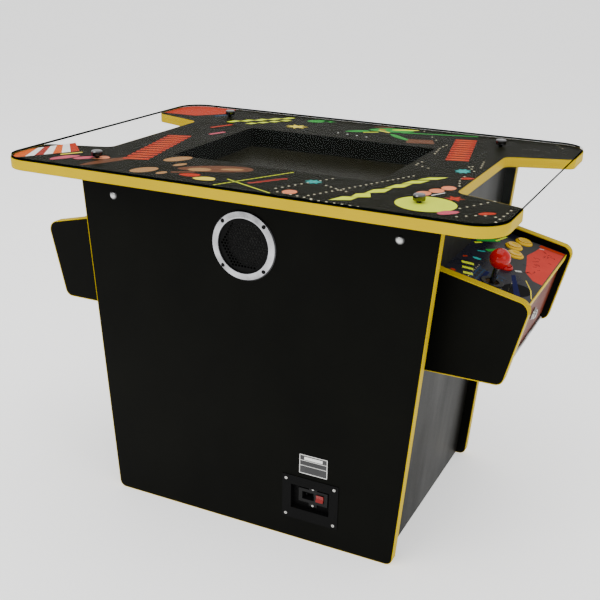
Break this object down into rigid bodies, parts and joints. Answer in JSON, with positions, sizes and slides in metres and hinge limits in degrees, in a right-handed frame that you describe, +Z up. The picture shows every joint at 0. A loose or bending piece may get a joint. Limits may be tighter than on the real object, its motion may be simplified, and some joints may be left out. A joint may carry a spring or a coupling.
{
  "type": "cocktail arcade cabinet",
  "caption": "Low two-player table arcade cabinet with a sunk screen under glass, tapered dark sides, yellow edging and a sloping joystick control box at each end.",
  "frame": {"origin": "floor level, in the middle of the cabinet's plan", "axes": "+X along the table towards one control box, -Y out of the side with the speaker and the mains inlet, +Z up"},
  "size_m": [0.9446, 0.6432, 0.6865],
  "materials": {
    "black_laminate": "satin black laminate on board",
    "grey_laminate": "satin grey laminate on board",
    "yellow_edging": "satin yellow edge moulding",
    "bare_board": "bare fibre board",
    "bare_wood": "bare planed softwood",
    "maroon_board": "glossy maroon-brown laminate",
    "zinc_steel": "zinc-plated sheet steel",
    "bright_steel": "bright plated steel",
    "silver_metal": "satin silver",
    "polished_chrome": "polished",
    "lock_metal": "nickel-plated",
    "black_metal": "black powder coat",
    "screw_metal": "nickel-plated screws, black on the speaker ring",
    "black_steel": "black oxide",
    "black_plastic": "moulded black",
    "pale_plastic": "moulded off-white",
    "red_rocker": "translucent red",
    "red_plastic": "glossy red",
    "yellow_plastic": "glossy yellow",
    "paper_cone": "pressed paper",
    "white_label": "plain printed label with bars only",
    "green_board": "circuit board",
    "deck_print": "abstract printed film",
    "table_print": "abstract printed sheet",
    "clear_glass": "clear toughened glass",
    "dark_screen": "dark flat screen in a black case"
  },
  "bodies": {
    "cabinet": {"side_panel_front": "black_laminate", "side_panel_back": "black_laminate", "side_trims": "yellow_edging", "end_panel_right": "grey_laminate", "end_panel_left": "grey_laminate", "base_board": "bare_board", "corner_battens": "bare_wood", "corner_brackets": "zinc_steel", "carriage_bolts": "bright_steel", "speaker_ring": "silver_metal", "speaker_mesh": "black_metal", "speaker_frame": "black_metal", "panel_screws": "screw_metal", "power_plate": "black_metal", "inlet_module": "black_plastic", "rating_label": "white_label", "game_board": "green_board", "power_supply": "zinc_steel", "control_box_boards": "black_laminate", "cheek_trims": "yellow_edging", "deck_boards": "bare_board", "deck_trims": "yellow_edging", "deck_prints": "deck_print", "stick_housings": "black_plastic", "dust_rings": "black_plastic", "microswitches": "black_plastic", "button_rims": "yellow_plastic", "start_rims": "red_plastic", "fixed_hinge_leaves": "zinc_steel"},
    "table_top": {"table_board": "black_laminate", "table_trim": "yellow_edging", "table_print": "table_print", "glass_top": "clear_glass", "glass_bolts": "polished_chrome", "screen_shroud": "black_laminate", "lcd_monitor": "dark_screen", "monitor_straps": "zinc_steel", "table_hinge_leaves": "zinc_steel"},
    "right_door_leaf": {"right_door": "maroon_board", "right_door_fittings": "lock_metal"},
    "right_lock": {"right_lock_cam": "lock_metal"},
    "right_gimbal": {"right_stick_pivot": "pale_plastic"},
    "right_stick": {"right_stick_shaft": "black_steel", "right_stick_ball": "red_plastic"},
    "right_button_1_plunger": {"right_button_1": "yellow_plastic"},
    "right_button_2_plunger": {"right_button_2": "yellow_plastic"},
    "right_button_3_plunger": {"right_button_3": "yellow_plastic"},
    "right_start_button_plunger": {"right_start_button": "red_plastic"},
    "left_door_leaf": {"left_door": "maroon_board", "left_door_fittings": "lock_metal"},
    "left_lock": {"left_lock_cam": "lock_metal"},
    "left_gimbal": {"left_stick_pivot": "pale_plastic"},
    "left_stick": {"left_stick_shaft": "black_steel", "left_stick_ball": "red_plastic"},
    "left_button_1_plunger": {"left_button_1": "yellow_plastic"},
    "left_button_2_plunger": {"left_button_2": "yellow_plastic"},
    "left_button_3_plunger": {"left_button_3": "yellow_plastic"},
    "left_start_button_plunger": {"left_start_button": "red_plastic"},
    "rocker": {"power_rocker": "red_rocker"},
    "cone": {"speaker_cone": "paper_cone"}
  },
  "joints": [
    {"name": "table_top_lift", "type": "hinge", "parent": "cabinet", "child": "table_top", "pos_m": [0, 0.2385, 0.6486], "axis": [-1, 0, 0], "range_deg": [0, 85]},
    {"name": "right_door_drop", "type": "hinge", "parent": "cabinet", "child": "right_door_leaf", "pos_m": [0.43301, 0, 0.37692], "axis": [0, 1, 0], "range_deg": [0, 95]},
    {"name": "right_lock_turn", "type": "hinge", "parent": "right_door_leaf", "child": "right_lock", "pos_m": [0.44431, 0, 0.43651], "axis": [0.9744, 0, -0.225], "range_deg": [0, 90]},
    {"name": "right_stick_across", "type": "hinge", "parent": "cabinet", "child": "right_gimbal", "pos_m": [0.3872, -0.106, 0.49588], "axis": [0.9744, 0, -0.225], "range_deg": [-10, 10], "stiffness_Nm_per_rad": 1.2},
    {"name": "right_stick_along", "type": "hinge", "parent": "right_gimbal", "child": "right_stick", "pos_m": [0.3872, -0.106, 0.49588], "axis": [0, 1, 0], "range_deg": [-10, 10], "stiffness_Nm_per_rad": 1.2},
    {"name": "right_button_1_press", "type": "slide", "parent": "cabinet", "child": "right_button_1_plunger", "axis": [-0.225, 0, -0.9744], "range_m": [0, 0.003], "stiffness_N_per_m": 300, "springref_m": -0.0015},
    {"name": "right_button_2_press", "type": "slide", "parent": "cabinet", "child": "right_button_2_plunger", "axis": [-0.225, 0, -0.9744], "range_m": [0, 0.003], "stiffness_N_per_m": 300, "springref_m": -0.0015},
    {"name": "right_button_3_press", "type": "slide", "parent": "cabinet", "child": "right_button_3_plunger", "axis": [-0.225, 0, -0.9744], "range_m": [0, 0.003], "stiffness_N_per_m": 300, "springref_m": -0.0015},
    {"name": "right_start_button_press", "type": "slide", "parent": "cabinet", "child": "right_start_button_plunger", "axis": [-0.225, 0, -0.9744], "range_m": [0, 0.003], "stiffness_N_per_m": 300, "springref_m": -0.0015},
    {"name": "left_door_drop", "type": "hinge", "parent": "cabinet", "child": "left_door_leaf", "pos_m": [-0.43301, 0, 0.37692], "axis": [0, -1, 0], "range_deg": [0, 95]},
    {"name": "left_lock_turn", "type": "hinge", "parent": "left_door_leaf", "child": "left_lock", "pos_m": [-0.44431, 0, 0.43651], "axis": [-0.9744, 0, -0.225], "range_deg": [0, 90]},
    {"name": "left_stick_across", "type": "hinge", "parent": "cabinet", "child": "left_gimbal", "pos_m": [-0.3872, 0.106, 0.49588], "axis": [-0.9744, 0, -0.225], "range_deg": [-10, 10], "stiffness_Nm_per_rad": 1.2},
    {"name": "left_stick_along", "type": "hinge", "parent": "left_gimbal", "child": "left_stick", "pos_m": [-0.3872, 0.106, 0.49588], "axis": [0, -1, 0], "range_deg": [-10, 10], "stiffness_Nm_per_rad": 1.2},
    {"name": "left_button_1_press", "type": "slide", "parent": "cabinet", "child": "left_button_1_plunger", "axis": [0.225, 0, -0.9744], "range_m": [0, 0.003], "stiffness_N_per_m": 300, "springref_m": -0.0015},
    {"name": "left_button_2_press", "type": "slide", "parent": "cabinet", "child": "left_button_2_plunger", "axis": [0.225, 0, -0.9744], "range_m": [0, 0.003], "stiffness_N_per_m": 300, "springref_m": -0.0015},
    {"name": "left_button_3_press", "type": "slide", "parent": "cabinet", "child": "left_button_3_plunger", "axis": [0.225, 0, -0.9744], "range_m": [0, 0.003], "stiffness_N_per_m": 300, "springref_m": -0.0015},
    {"name": "left_start_button_press", "type": "slide", "parent": "cabinet", "child": "left_start_button_plunger", "axis": [0.225, 0, -0.9744], "range_m": [0, 0.003], "stiffness_N_per_m": 300, "springref_m": -0.0015},
    {"name": "power_rocker_tip", "type": "hinge", "parent": "cabinet", "child": "rocker", "pos_m": [0.1465, -0.222, 0.092], "axis": [1, 0, 0], "range_deg": [0, 18]},
    {"name": "speaker_cone_throw", "type": "slide", "parent": "cabinet", "child": "cone", "axis": [0, -1, 0], "range_m": [-0.0015, 0.0015], "stiffness_N_per_m": 1500}
  ]
}
